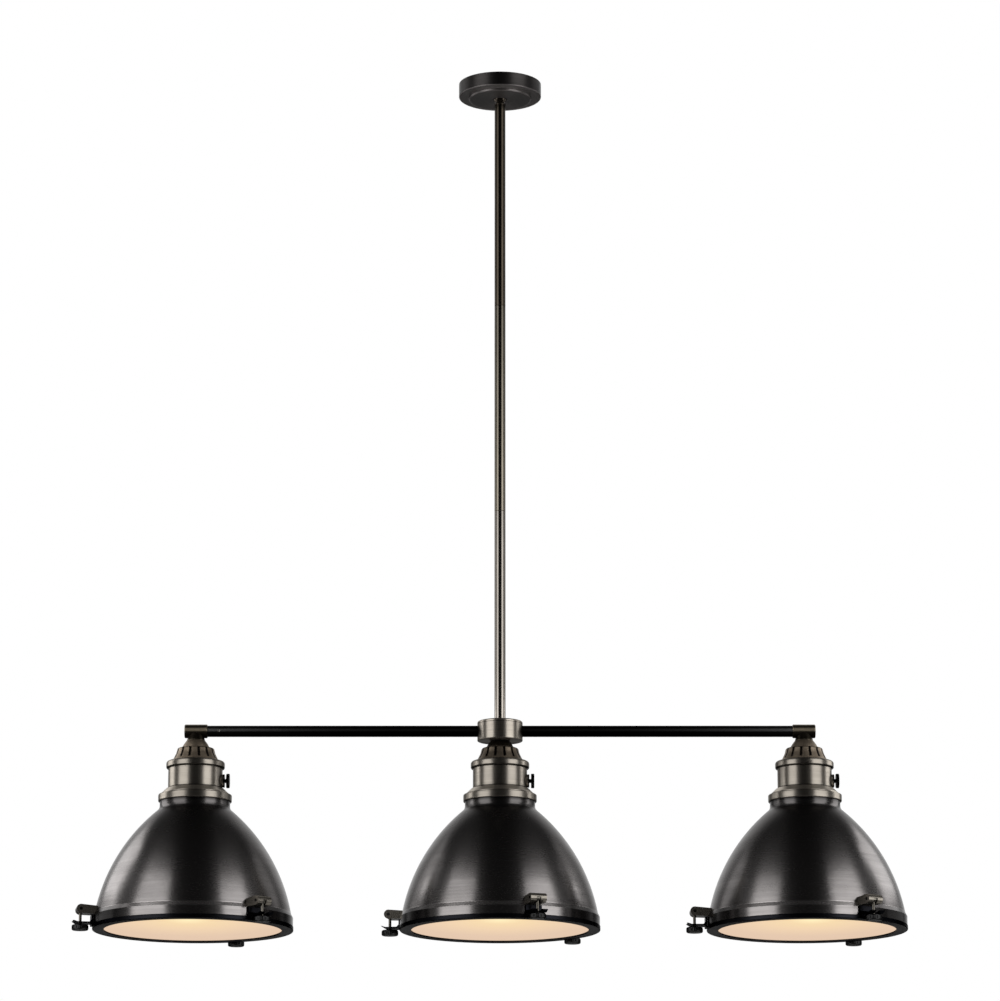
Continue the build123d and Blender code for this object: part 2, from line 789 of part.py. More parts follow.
with BuildPart() as thumb_nut:
    with BuildSketch(Plane.XY.offset(thumb_bottom_z)):
        with Locations((clamp_r, 0)):
            Circle(thumb_nut_d / 2 - knurl_depth)
    extrude(amount=thumb_nut_h)
    fillet(thumb_nut.edges().filter_by(GeomType.CIRCLE), thumb_edge_r)
    with BuildSketch(Plane.XY.offset(thumb_bottom_z + thumb_edge_r)):
        with Locations((clamp_r, 0)):
            for turn in range(knurl_turns):
                RegularPolygon(thumb_nut_d / 2, knurl_sides, rotation=turn * 360 / knurl_sides / knurl_turns)
    extrude(amount=thumb_nut_h - 2 * thumb_edge_r)
    with BuildSketch(Plane.XY.offset(thumb_top_z)):
        with Locations((clamp_r, 0)):
            Circle(thumb_boss_d / 2)
    extrude(amount=thumb_boss_h)
    with BuildSketch(Plane.XY.offset(thumb_bottom_z)):
        with Locations((clamp_r, 0)):
            Circle(bolt_r + running_gap)
    extrude(amount=thumb_nut_h + thumb_boss_h, mode=Mode.SUBTRACT)

# Rotary switch

with BuildPart() as bushing:
    with BuildSketch(Plane.YZ.offset(pad_x)):
        with Locations((0, switch_z)):
            Circle(switch_pad_d / 2)
    extrude(amount=bushing_flange_t)
    with BuildSketch(Plane.YZ.offset(pad_x)):
        with Locations((0, switch_z)):
            Circle(bushing_r)
    extrude(amount=-bushing_l)
    with BuildSketch(Plane.YZ.offset(pad_x - bushing_l)):
        with Locations((0, switch_z)):
            Circle(knob_shaft_r + running_gap)
    extrude(amount=bushing_l + bushing_flange_t, mode=Mode.SUBTRACT)

knob_face_x = pad_x + bushing_flange_t + knob_neck
with BuildPart() as switch_knob:
    with BuildSketch(Plane.YZ.offset(knob_face_x)):
        with Locations((0, switch_z)):
            Circle(knob_d / 2)
    extrude(amount=knob_t)
    fillet(switch_knob.edges().filter_by(GeomType.CIRCLE), knob_edge_r)
    with BuildSketch(Plane.YZ.offset(knob_face_x)):
        with Locations((0, switch_z)):
            Circle(knob_shaft_r)
    extrude(amount=-knob_neck - bushing_flange_t - knob_shaft_in)

# Lamp holder and bulb

with BuildPart() as lamp_holder:
    with BuildSketch(Plane.XZ):
        with BuildLine():
            FilletPolyline(
                (nipple_r + thread_gap, holder_top_z),
                (holder_cap_d / 2, holder_top_z),
                (holder_cap_d / 2, holder_top_z - holder_cap_h),
                (holder_d / 2, holder_top_z - holder_cap_h),
                (holder_d / 2, holder_bottom_z),
                (socket_d / 2, holder_bottom_z),
                (socket_d / 2, holder_bottom_z + socket_depth),
                (nipple_bore_r, holder_bottom_z + socket_depth),
                (nipple_bore_r, holder_top_z - holder_thread_l),
                (nipple_r + thread_gap, holder_top_z - holder_thread_l),
                radius=(0, holder_edge_r, 0, holder_edge_r, holder_edge_r, 0, 0, 0, 0, 0),
                close=True,
            )
        make_face()
    revolve(axis=Axis.Z)

bulb_globe_r = bulb_globe_d / 2
bulb_globe_z = bulb_top_z - bulb_l + bulb_globe_r
with BuildPart() as bulb:
    with BuildSketch(Plane.XZ):
        with BuildLine():
            Line((0, bulb_top_z), (bulb_base_d / 2, bulb_top_z))
            Line((bulb_base_d / 2, bulb_top_z), (bulb_base_d / 2, holder_bottom_z))
            Line((bulb_base_d / 2, holder_bottom_z), (bulb_neck_d / 2, holder_bottom_z - bulb_base_gap))
            bulb_neck = (bulb_neck_d / 2, holder_bottom_z - bulb_base_gap)
            TangentArc(bulb_neck, (bulb_globe_r, bulb_globe_z), tangent=(0, 1), tangent_from_first=False)
            RadiusArc((bulb_globe_r, bulb_globe_z), (0, bulb_globe_z - bulb_globe_r), bulb_globe_r)
            Line((0, bulb_globe_z - bulb_globe_r), (0, bulb_top_z))
        make_face()
    revolve(axis=Axis.Z)

# Set out the heads

for head, place, first_turn in heads:
    at_head = Location((head_x(place), 0, 0))
    with BuildPart() as lens_ring:
        add(ring_blank.part.moved(at_head))
        for name, clamp_place in clamp_places():
            if name.startswith(head):
                add(ear.part.moved(clamp_place))
    save(lens_ring.part, f"lens_ring_{head}")
    save(crown.part.moved(at_head), f"crown_{head}")
    save(housing.part.moved(at_head), f"housing_{head}")
    save(shade.part.moved(at_head), f"shade_{head}")
    save(glass.part.moved(at_head), f"glass_{head}")
    save(switch_knob.part.moved(at_head), f"switch_knob_{head}")

for name, clamp_place in clamp_places():
    save(swing_bolt.part.moved(clamp_place), f"swing_bolt_{name}")
    save(thumb_nut.part.moved(clamp_place), f"thumb_nut_{name}")

with BuildPart() as clamp_brackets:
    for name, clamp_place in clamp_places():
        add(bracket.part.moved(clamp_place))
save(clamp_brackets.part, "clamp_brackets")

with BuildPart() as clamp_pins:
    for name, clamp_place in clamp_places():
        add(clamp_pin.part.moved(clamp_place))
save(clamp_pins.part, "clamp_pins")

with BuildPart() as switch_bushings:
    for head, place, first_turn in heads:
        add(bushing.part.moved(Location((head_x(place), 0, 0))))
save(switch_bushings.part, "switch_bushings")

with BuildPart() as lamp_holders:
    for head, place, first_turn in heads:
        add(lamp_holder.part.moved(Location((head_x(place), 0, 0))))
save(lamp_holders.part, "lamp_holders")

with BuildPart() as bulbs:
    for head, place, first_turn in heads:
        add(bulb.part.moved(Location((head_x(place), 0, 0))))
save(bulbs.part, "bulbs")
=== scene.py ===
from math import cos, pi, radians, sin

import bpy
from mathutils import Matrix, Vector


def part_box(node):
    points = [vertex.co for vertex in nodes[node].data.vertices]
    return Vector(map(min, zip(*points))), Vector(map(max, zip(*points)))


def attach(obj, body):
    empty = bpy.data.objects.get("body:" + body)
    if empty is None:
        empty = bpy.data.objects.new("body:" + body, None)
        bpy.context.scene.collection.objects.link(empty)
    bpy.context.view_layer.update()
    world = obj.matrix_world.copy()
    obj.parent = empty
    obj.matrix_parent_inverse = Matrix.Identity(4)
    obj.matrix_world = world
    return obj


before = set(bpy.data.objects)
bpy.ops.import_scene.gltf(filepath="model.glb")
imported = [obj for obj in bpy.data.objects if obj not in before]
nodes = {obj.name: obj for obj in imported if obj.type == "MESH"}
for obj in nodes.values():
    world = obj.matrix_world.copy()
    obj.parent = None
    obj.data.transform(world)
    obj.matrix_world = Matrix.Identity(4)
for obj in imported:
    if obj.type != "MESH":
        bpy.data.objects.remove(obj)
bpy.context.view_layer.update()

# Features of the nodes, in metres: R is a radius, a height is above its node's foot, a depth below its top

CANOPY_STEP_R = 0.0445
CANOPY_RIM_HEIGHT = 0.004
FITTING_FOOT_HEIGHT = 0.0016
DOME_DEPTH = 0.01
VENT_FOOT_HEIGHT = 0.0036
BEAD_FOOT_DEPTH = 0.0242
GROOVE_TOP_HEIGHT = 0.02
CONE_TOP_HEIGHT = 0.0185
CONE_FOOT_HEIGHT = 0.011
BELL_TOP_DEPTH = 0.015
BELL_LOW_HEIGHT = 0.047
BELL_FOOT_HEIGHT = 0.0175
HEM_TOP_HEIGHT = 0.012

# Vents round each crown

VENT_COUNT = 14

# Set screw in the left arm, in metres: how far it is from the end fitting, and the rings of its outline from
# the middle outwards, each with its radius and how far it stands proud of the arm

SET_SCREW_INSET = 0.0163
SET_SCREW_SIDES = 24
SET_SCREW_RINGS = (
    (0.0, -0.00015),
    (0.0009, 0.00005),
    (0.0011, 0.00045),
    (0.0017, 0.00045),
    (0.0021, 0.00005),
    (0.0021, -0.00095),
)

# Finishes: a level below 1 dims a metal's colour, and one above 1 makes it paler; most levels are painted
# shade or painted highlights, and the hub's seam is a dark joint. Fades, widths and reaches are in metres,
# and the polish is a share of the roughness

CANOPY_WALL_LEVEL = 0.85
CANOPY_UNDERSIDE_LIGHT_LEVEL = 3.5
CANOPY_UNDERSIDE_FACING = 0.8
CANOPY_EDGE_HIGHLIGHT_LEVEL = 2.5
CANOPY_EDGE_HIGHLIGHT_WIDTH = 0.0007
HUB_SEAM_LEVEL = 0.2
HUB_SEAM_WIDTH = 0.0004
HUB_LID_LEVEL = 1.3
BAR_SHADE_LEVEL = 0.08
BAR_SHADE_FADE = 0.002
ARM_REACH = 0.4
ARM_END_HIGHLIGHT_GAIN = 12.0
ARM_END_POWER = 4
FITTING_FOOT_LEVEL = 0.45
FITTING_FOOT_FADE = 0.0005
CROWN_SHADE_LEVEL = 0.15
CROWN_END_LIGHT_LEVEL = 1.6
DOME_FADE = 0.001
VENT_SHADE_WIDTH = 0.0018
VENT_SHADE_FADE = 0.0004
HOUSING_SHADE_LEVEL = 0.2
BEAD_SHADE_WIDTH = 0.0012
CONE_HIGHLIGHT_LEVEL = 2.6
CONE_FADE = 0.0005
NECK_SHADE_LEVEL = 0.2
NECK_FADE = 0.0045
BELL_TOP_SHADE_LEVEL = 0.5
FLARE_HIGHLIGHT_LEVEL = 2.8
FLARE_FADE_BELOW = 0.0005
FLARE_FADE_ABOVE = 0.001
HEM_SHADE_LEVEL = 0.42
HEM_FADE = 0.0003
HEM_POLISH = 0.88
HEM_POLISH_FADE = 0.001

# Painted shade on the flare and the hem, which darken as they turn away from the eye: the turn where that
# starts and ends, from 0 to 1, and the share of the colour that is lost by then

FLARE_TURN = (0.3, 0.45, 0.88)
HEM_TURN = (0.18, 0.38, 0.86)

# Every finish: the range in which its noise varies it, and the share of a metal's roughness where the noise
# makes it dark and where it makes it pale

NOISE_LOW = 0.3
NOISE_HIGH = 0.7
DARK_ROUGHNESS = 1.15
PALE_ROUGHNESS = 0.9

# Kinds of metal: scales of their noises to the metre, for each axis where they differ, and the share of the
# rings or streaks against the clouds

RING_TURNING = 3.0
RING_ALONG = 150.0
HUB_RING_ALONG = 300.0
RING_SHARE = 0.65
RING_CLOUDS = 25.0
BAR_RINGS = (700.0, 6.0, 6.0)
BAR_RING_SHARE = 0.4
BAR_CLOUDS = 60.0
TUBE_STREAKS = (900.0, 900.0, 9.0)
TUBE_STREAK_SHARE = 0.4
TUBE_CLOUDS = (40.0, 40.0, 12.0)
COAT_CLOUDS = 45.0
COAT_GRAIN = 1600.0
COAT_GRAIN_DEPTH = 0.0003
BRUSH_QUARTER_TURN = 0.25

# Colour that the housings and the hub share, as linear red, green and blue, and how much paler the hub is

PEWTER_COLOUR = (0.27, 0.245, 0.212)
HUB_PALENESS = 1.3

# Lit glass: where its glow is brightest, in the lens's box, how fast it falls off each way, and its colours

GLOW_MIDDLE = (0.5, 0.12, 0.5)
GLOW_FALL = (2.0, 1.5, 0.0)
GLOW_STOPS = (
    (0.0, (1.0, 0.85, 0.5)),
    (0.25, (0.9, 0.68, 0.4)),
    (0.55, (0.85, 0.63, 0.41)),
    (1.0, (0.75, 0.55, 0.4)),
)
GLASS_COLOUR = (0.06, 0.055, 0.05, 1.0)
GLASS_SHEEN = 0.2
FROST_SCALE = 900.0
FROST_SMOOTH = 0.5
FROST_ROUGH = 0.7

# Camera and studio, in metres and degrees

CAMERA_DISTANCE = 5.776
CAMERA_Z = -1.991
CAMERA_PITCH = 13.3
CAMERA_LENS_MM = 149.2
FLOOR_Z = -2.6
FLOOR_RADIUS = 2.4
FLOOR_FADE = 1.3
FLOOR_SIDES = 96
FLOOR_COLOUR = (0.86, 0.86, 0.85, 1.0)
FLOOR_ROUGHNESS = 0.8
STUDIO_CENTRE_Z = -0.3
SOFTBOX_DISTANCE = 3.5

# Softboxes: turn from the front in degrees, width and height in metres, and radiance

SOFTBOXES = (
    (53, 2.5, 4.4, 2.2),
    (-53, 2.5, 4.4, 1.95),
    (116, 2.2, 4.4, 0.5),
    (-116, 2.2, 4.4, 0.8),
)

# Two small lamps behind the end heads, for the light along their outer edges; x is mirrored for the left one

EDGE_BOX_PLACE = (0.87, 0.18, -0.91)
EDGE_BOX_TARGET = (0.43, 0.0, -1.12)
EDGE_BOX_WIDTH = 0.3
EDGE_BOX_HEIGHT = 0.3
EDGE_BOX_RADIANCE = 2.3

# Surroundings: light that fills the shadows, and what metal mirrors in front, at the sides and behind

FILL_LEVEL = 0.2
FRONT_LEVEL = 0.012
SIDE_LEVEL = 0.12
SIDE_START = 0.3
BACKDROP_LEVEL = 1.0
BACKDROP_START = 0.85
BACKDROP_END = 1.05
BACKDROP_RISE = 0.5
WHITE = (1.0, 1.0, 1.0, 1.0)

# Digits that a place in metres is rounded to

MICROMETRE_DIGITS = 6


# Places in the frame, in metres: +Z up, the ceiling at z = 0, -Y the front

def lowest(node, axis):
    """A node's lowest place along an axis, to the nearest micrometre."""
    return round(getattr(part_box(node)[0], axis), MICROMETRE_DIGITS)


def highest(node, axis):
    """A node's highest place along an axis, to the nearest micrometre."""
    return round(getattr(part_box(node)[1], axis), MICROMETRE_DIGITS)


HEAD_PITCH = lowest("glass_right", "x") - lowest("glass_centre", "x")
CANOPY_RIM_Z = lowest("canopy", "z") + CANOPY_RIM_HEIGHT
STEM_TOP_Z = highest("rod_upper", "z")
ROD_LENGTH = STEM_TOP_Z - lowest("rod_upper", "z")
HUB_SEAM_Z = highest("hub_body", "z")
BAR_Z = (lowest("arm_left", "z") + highest("arm_left", "z")) / 2
ARM_FRONT_Y = lowest("arm_left", "y")
SET_SCREW_X = highest("end_fitting_left", "x") + SET_SCREW_INSET
FITTING_FOOT_Z = lowest("end_fitting_left", "z") + FITTING_FOOT_HEIGHT
DOME_FOOT_Z = highest("crown_centre", "z") - DOME_DEPTH
VENT_FOOT_Z = lowest("crown_centre", "z") + VENT_FOOT_HEIGHT
BEAD_FOOT_Z = highest("housing_centre", "z") - BEAD_FOOT_DEPTH
NECK_Z = lowest("housing_centre", "z")
GROOVE_TOP_Z = NECK_Z + GROOVE_TOP_HEIGHT
CONE_TOP_Z = NECK_Z + CONE_TOP_HEIGHT
CONE_FOOT_Z = NECK_Z + CONE_FOOT_HEIGHT
BELL_TOP_Z = highest("shade_centre", "z") - BELL_TOP_DEPTH
SHADE_FOOT_Z = lowest("shade_centre", "z")
BELL_LOW_Z = SHADE_FOOT_Z + BELL_LOW_HEIGHT
BELL_FOOT_Z = SHADE_FOOT_Z + BELL_FOOT_HEIGHT
HEM_TOP_Z = SHADE_FOOT_Z + HEM_TOP_HEIGHT


# Shader helpers

def new_material(name):
    """A material with an empty node tree, its tree and its Principled shader."""
    material = bpy.data.materials.new(name)
    material.use_nodes = True
    tree = material.node_tree
    tree.nodes.clear()
    output = tree.nodes.new("ShaderNodeOutputMaterial")
    shader = tree.nodes.new("ShaderNodeBsdfPrincipled")
    tree.links.new(shader.outputs["BSDF"], output.inputs["Surface"])
    return material, tree, shader


def math_node(tree, operation, first, second=None, third=None):
    """A Math node on sockets or plain numbers."""
    node = tree.nodes.new("ShaderNodeMath")
    node.operation = operation
    for socket, value in zip(node.inputs, (first, second, third)):
        if value is None:
            continue
        if isinstance(value, (int, float)):
            socket.default_value = value
        else:
            tree.links.new(value, socket)
    return node.outputs[0]


def product(tree, first, *others):
    """The product of several factors."""
    for other in others:
        first = math_node(tree, "MULTIPLY", first, other)
    return first


def vector_math(tree, operation, vector, constant=None):
    """A Vector Math node on a vector socket and a plain vector."""
    node = tree.nodes.new("ShaderNodeVectorMath")
    node.operation = operation
    tree.links.new(vector, node.inputs[0])
    if constant is not None:
        node.inputs[1].default_value = constant
    return node


def noise(tree, vector, scale, detail=3.0, rough=0.55):
    """A noise factor on a vector socket."""
    node = tree.nodes.new("ShaderNodeTexNoise")
    node.inputs["Scale"].default_value = scale
    node.inputs["Detail"].default_value = detail
    node.inputs["Roughness"].default_value = rough
    tree.links.new(vector, node.inputs["Vector"])
    return node.outputs["Fac"]


def ramp(tree, factor, *stops):
    """A colour ramp through (position, colour) stops."""
    node = tree.nodes.new("ShaderNodeValToRGB")
    elements = node.color_ramp.elements
    while len(elements) < len(stops):
        elements.new(0.5)
    for element, (position, colour) in zip(elements, stops):
        element.position = position
        element.color = (*colour, 1.0)
    tree.links.new(factor, node.inputs["Fac"])
    return node.outputs["Color"]


def spread(tree, factor, low, high, to_low, to_high):
    """Maps a factor's range onto another range."""
    node = tree.nodes.new("ShaderNodeMapRange")
    for socket, value in zip(node.inputs[1:5], (low, high, to_low, to_high)):
        socket.default_value = value
    tree.links.new(factor, node.inputs[0])
    return node.outputs[0]


def shade_of(colour, factor):
    """A colour times a factor."""
    return tuple(channel * factor for channel in colour)


def blend_of(tree, first, second, share):
    """A share of one factor with the rest of another."""
    return math_node(tree, "ADD", product(tree, first, share), product(tree, second, 1 - share))


# Where a shaded point lies on the part

def object_coords(tree, scale=(1.0, 1.0, 1.0)):
    """Places in the frame, times a scale for each axis."""
    coords = tree.nodes.new("ShaderNodeTexCoord")
    return vector_math(tree, "MULTIPLY", coords.outputs["Object"], scale).outputs[0]


def axes(tree, vector):
    """The X, Y and Z sockets of a vector."""
    split = tree.nodes.new("ShaderNodeSeparateXYZ")
    tree.links.new(vector, split.inputs[0])
    return split.outputs


def height(tree):
    """The height in the frame, in metres."""
    return axes(tree, object_coords(tree))["Z"]


def from_middle(tree):
    """The distance in metres from the middle of the bar, along the bar."""
    return math_node(tree, "ABSOLUTE", axes(tree, object_coords(tree))["X"])


def head_place(tree):
    """The places in metres along X and Y from the nearest head's upright axis, the stem's included."""
    place = axes(tree, object_coords(tree))
    return math_node(tree, "WRAP", place["X"], HEAD_PITCH / 2, -HEAD_PITCH / 2), place["Y"]


def from_axis(tree):
    """The distance in metres from the nearest head's upright axis, the stem's included."""
    across, along = head_place(tree)
    squares = math_node(tree, "ADD", math_node(tree, "POWER", across, 2), math_node(tree, "POWER", along, 2))
    return math_node(tree, "SQRT", squares)


def from_vents(tree):
    """The distance in metres from the nearest vent's middle, round a crown."""
    across, along = head_place(tree)
    turn = math_node(tree, "ARCTAN2", along, across)
    turn = math_node(tree, "WRAP", turn, pi / VENT_COUNT, -pi / VENT_COUNT)
    return product(tree, from_axis(tree), math_node(tree, "ABSOLUTE", turn))


def facing_down(tree):
    """The downward part of a surface's normal."""
    geometry = tree.nodes.new("ShaderNodeNewGeometry")
    return product(tree, axes(tree, geometry.outputs["Normal"])["Z"], -1.0)


def turned_away(tree, start, end, loss):
    """The share of its colour that a surface loses to painted shade as it turns away from the eye."""
    weight = tree.nodes.new("ShaderNodeLayerWeight")
    return spread(tree, weight.outputs["Facing"], start, end, 0.0, loss)


def ring_vector(tree, turning, along):
    """Coordinates that stretch a noise into rings about an upright axis."""
    place = axes(tree, object_coords(tree, (turning, turning, along)))
    ring = math_node(tree, "ADD", place["Z"], product(tree, from_axis(tree), along))
    merged = tree.nodes.new("ShaderNodeCombineXYZ")
    tree.links.new(place["X"], merged.inputs["X"])
    tree.links.new(place["Y"], merged.inputs["Y"])
    tree.links.new(ring, merged.inputs["Z"])
    return merged.outputs[0]


# Kinds of metal

def tint_metal(tree, shader, factor, colour, contrast, roughness, dimming=None, polish=None):
    """Lets a factor vary a metal's colour and roughness, a second one dim it and a third one polish it."""
    dark_stop = (NOISE_LOW, shade_of(colour, 1 - contrast))
    pale_stop = (NOISE_HIGH, shade_of(colour, 1 + contrast))
    tint = ramp(tree, factor, dark_stop, pale_stop)
    if dimming is not None:
        dimmed = vector_math(tree, "SCALE", tint)
        tree.links.new(dimming(tree), dimmed.inputs["Scale"])
        tint = dimmed.outputs[0]
    tree.links.new(tint, shader.inputs["Base Color"])
    wear = spread(tree, factor, NOISE_LOW, NOISE_HIGH, roughness * DARK_ROUGHNESS, roughness * PALE_ROUGHNESS)
    if polish is not None:
        wear = product(tree, wear, polish(tree))
    tree.links.new(wear, shader.inputs["Roughness"])


def edge_tint(shader, level):
    """Sets how much of the surroundings a metal shows at a glancing angle."""
    shader.inputs["Specular Tint"].default_value = (level, level, level, 1.0)


def brush(tree, shader, anisotropy, axis):
    """Stretches a metal's highlights across rings about an axis."""
    shader.inputs["Anisotropic"].default_value = anisotropy
    shader.inputs["Anisotropic Rotation"].default_value = BRUSH_QUARTER_TURN
    tangent = tree.nodes.new("ShaderNodeTangent")
    tangent.direction_type = "RADIAL"
    tangent.axis = axis
    tree.links.new(tangent.outputs[0], shader.inputs["Tangent"])


def turned_metal(
    name,
    colour,
    roughness,
    anisotropy=0.7,
    contrast=0.25,
    along=RING_ALONG,
    edge=1.0,
    dimming=None,
    polish=None,
):
    """Spun or turned metal: fine rings about the upright axis over a cloudy patina."""
    material, tree, shader = new_material(name)
    rings = noise(tree, ring_vector(tree, RING_TURNING, along), scale=1.0, detail=6.0, rough=0.75)
    clouds = noise(tree, object_coords(tree), scale=RING_CLOUDS, detail=5.0, rough=0.6)
    factor = blend_of(tree, rings, clouds, RING_SHARE)
    tint_metal(tree, shader, factor, colour, contrast, roughness, dimming, polish)
    shader.inputs["Metallic"].default_value = 1.0
    edge_tint(shader, edge)
    brush(tree, shader, anisotropy, "Z")
    return material


def bar_metal(name, colour, roughness, anisotropy, contrast=0.25, edge=1.0, dimming=None):
    """Metal turned about the bar's axis, with rings across the bar."""
    material, tree, shader = new_material(name)
    rings = noise(tree, object_coords(tree, BAR_RINGS), scale=1.0, detail=4.0, rough=0.7)
    clouds = noise(tree, object_coords(tree), scale=BAR_CLOUDS, detail=5.0, rough=0.6)
    factor = blend_of(tree, rings, clouds, BAR_RING_SHARE)
    tint_metal(tree, shader, factor, colour, contrast, roughness, dimming)
    shader.inputs["Metallic"].default_value = 1.0
    edge_tint(shader, edge)
    brush(tree, shader, anisotropy, "X")
    return material


def drawn_tube(name, colour, roughness, contrast=0.15, dimming=None):
    """Drawn tube: faint streaks along its length."""
    material, tree, shader = new_material(name)
    streaks = noise(tree, object_coords(tree, TUBE_STREAKS), scale=1.0, detail=3.0)
    clouds = noise(tree, object_coords(tree, TUBE_CLOUDS), scale=1.0, detail=4.0)
    factor = blend_of(tree, streaks, clouds, TUBE_STREAK_SHARE)
    tint_metal(tree, shader, factor, colour, contrast, roughness, dimming)
    shader.inputs["Metallic"].default_value = 1.0
    return material


def coated_metal(name, colour, roughness, metallic=1.0, contrast=0.3, bump=0.05, edge=1.0, dimming=None):
    """Painted, plated or cast metal: a fine grain over a cloudy tone."""
    material, tree, shader = new_material(name)
    places = object_coords(tree)
    clouds = noise(tree, places, scale=COAT_CLOUDS, detail=6.0, rough=0.65)
    tint_metal(tree, shader, clouds, colour, contrast, roughness, dimming)
    shader.inputs["Metallic"].default_value = metallic
    edge_tint(shader, edge)
    relief = tree.nodes.new("ShaderNodeBump")
    relief.inputs["Strength"].default_value = bump
    relief.inputs["Distance"].default_value = COAT_GRAIN_DEPTH
    tree.links.new(noise(tree, places, scale=COAT_GRAIN, detail=2.0), relief.inputs["Height"])
    tree.links.new(relief.outputs["Normal"], shader.inputs["Normal"])
    return material


def lit_glass(name):
    """Frosted glass with a painted glow from the bulb above it: a warm spot in the middle, towards the front.
    """
    material, tree, shader = new_material(name)
    coords = tree.nodes.new("ShaderNodeTexCoord")
    centred = vector_math(tree, "SUBTRACT", coords.outputs["Generated"], GLOW_MIDDLE)
    flat = vector_math(tree, "MULTIPLY", centred.outputs[0], GLOW_FALL)
    reach = vector_math(tree, "LENGTH", flat.outputs[0])
    glow = ramp(tree, reach.outputs["Value"], *GLOW_STOPS)
    frost = noise(tree, coords.outputs["Object"], scale=FROST_SCALE, detail=2.0)
    shader.inputs["Base Color"].default_value = GLASS_COLOUR
    shader.inputs["Specular IOR Level"].default_value = GLASS_SHEEN
    wear = spread(tree, frost, NOISE_LOW, NOISE_HIGH, FROST_SMOOTH, FROST_ROUGH)
    tree.links.new(wear, shader.inputs["Roughness"])
    tree.links.new(glow, shader.inputs["Emission Color"])
    shader.inputs["Emission Strength"].default_value = 1.0
    return material


# How each finish's colour varies over its piece, mostly as painted light and shade

def canopy_painted_light(tree):
    """Painted light: the underside is painted paler than the wall, and painted highlights run along the edges
    of the step and the rim.
    """
    step_highlight = math_node(tree, "COMPARE", from_axis(tree), CANOPY_STEP_R, CANOPY_EDGE_HIGHLIGHT_WIDTH)
    rim_highlight = math_node(tree, "COMPARE", height(tree), CANOPY_RIM_Z, CANOPY_EDGE_HIGHLIGHT_WIDTH)
    edges = product(tree, math_node(tree, "MAXIMUM", step_highlight, rim_highlight), CANOPY_EDGE_HIGHLIGHT_LEVEL)
    facing = facing_down(tree)
    wall = spread(tree, facing, CANOPY_UNDERSIDE_FACING, 1.0, CANOPY_WALL_LEVEL, CANOPY_UNDERSIDE_LIGHT_LEVEL)
    return math_node(tree, "ADD", edges, wall)


def rod_painted_shade(joints_above, top_level, foot_level):
    """Painted shade for one rod of the stem, counted from the canopy: the rod darkens from its foot to its
    top.
    """
    top = STEM_TOP_Z - joints_above * ROD_LENGTH
    return lambda tree: spread(tree, height(tree), top - ROD_LENGTH, top, foot_level, top_level)


def hub_dimming(tree):
    """A dark seam runs under the lid, and the lid above it is paler."""
    place = height(tree)
    seam = math_node(tree, "COMPARE", place, HUB_SEAM_Z, HUB_SEAM_WIDTH)
    lid = spread(tree, place, HUB_SEAM_Z, HUB_SEAM_Z + HUB_SEAM_WIDTH, 1.0, HUB_LID_LEVEL)
    return product(tree, lid, spread(tree, seam, 0.0, 1.0, 1.0, HUB_SEAM_LEVEL))


def bar_painted_shade(tree):
    """Painted shade: the lower half of the bar is darkened to black."""
    return spread(tree, height(tree), BAR_Z - BAR_SHADE_FADE, BAR_Z, BAR_SHADE_LEVEL, 1.0)


def arm_painted_light(tree):
    """Painted highlight: the arms are paler towards their ends, over the bar's painted shade."""
    reach = math_node(tree, "DIVIDE", from_middle(tree), ARM_REACH)
    gain = math_node(tree, "POWER", reach, ARM_END_POWER)
    return product(tree, bar_painted_shade(tree), math_node(tree, "MULTIPLY_ADD", gain, ARM_END_HIGHLIGHT_GAIN, 1.0))


def fitting_painted_shade(tree):
    """Painted shade: the fittings are black below the bar's middle, and their foot is darkened less."""
    fade_end = FITTING_FOOT_Z - FITTING_FOOT_FADE
    foot = spread(tree, height(tree), fade_end, FITTING_FOOT_Z, FITTING_FOOT_LEVEL, 0.0)
    return math_node(tree, "MAXIMUM", bar_painted_shade(tree), foot)


def crown_painted_shade(tree):
    """Painted shade: the centre dome, under the hub, and the vents' edges are darkened, and the end crowns
    are painted paler than the centre one.
    """
    place = height(tree)
    dome = spread(tree, place, DOME_FOOT_Z - DOME_FADE, DOME_FOOT_Z + DOME_FADE, 0.0, 1.0)
    centre_head = math_node(tree, "LESS_THAN", from_middle(tree), HEAD_PITCH / 2)
    covered = product(tree, dome, centre_head)
    above = math_node(tree, "GREATER_THAN", place, VENT_FOOT_Z)
    below = math_node(tree, "LESS_THAN", place, DOME_FOOT_Z - DOME_FADE)
    beside = spread(tree, from_vents(tree), VENT_SHADE_WIDTH, VENT_SHADE_WIDTH + VENT_SHADE_FADE, 1.0, 0.0)
    vents = product(tree, beside, above, below)
    shaded = spread(tree, math_node(tree, "MAXIMUM", covered, vents), 0.0, 1.0, 1.0, CROWN_SHADE_LEVEL)
    return product(tree, shaded, spread(tree, centre_head, 0.0, 1.0, CROWN_END_LIGHT_LEVEL, 1.0))


def housing_painted_light(tree):
    """Painted shade darkens the groove and the bead's foot, and a painted highlight makes the cone paler."""
    place = height(tree)
    cone = spread(tree, place, CONE_TOP_Z - CONE_FADE, CONE_TOP_Z, CONE_HIGHLIGHT_LEVEL, 1.0)
    band = spread(tree, place, CONE_FOOT_Z, CONE_FOOT_Z + CONE_FADE, 0.0, 1.0)
    pale = math_node(tree, "MAXIMUM", product(tree, cone, band), 1.0)
    groove_z = (GROOVE_TOP_Z + CONE_TOP_Z) / 2
    groove = math_node(tree, "COMPARE", place, groove_z, GROOVE_TOP_Z - groove_z)
    bead = math_node(tree, "COMPARE", place, BEAD_FOOT_Z, BEAD_SHADE_WIDTH)
    shaded = spread(tree, math_node(tree, "MAXIMUM", groove, bead), 0.0, 1.0, 1.0, HOUSING_SHADE_LEVEL)
    return product(tree, pale, shaded)


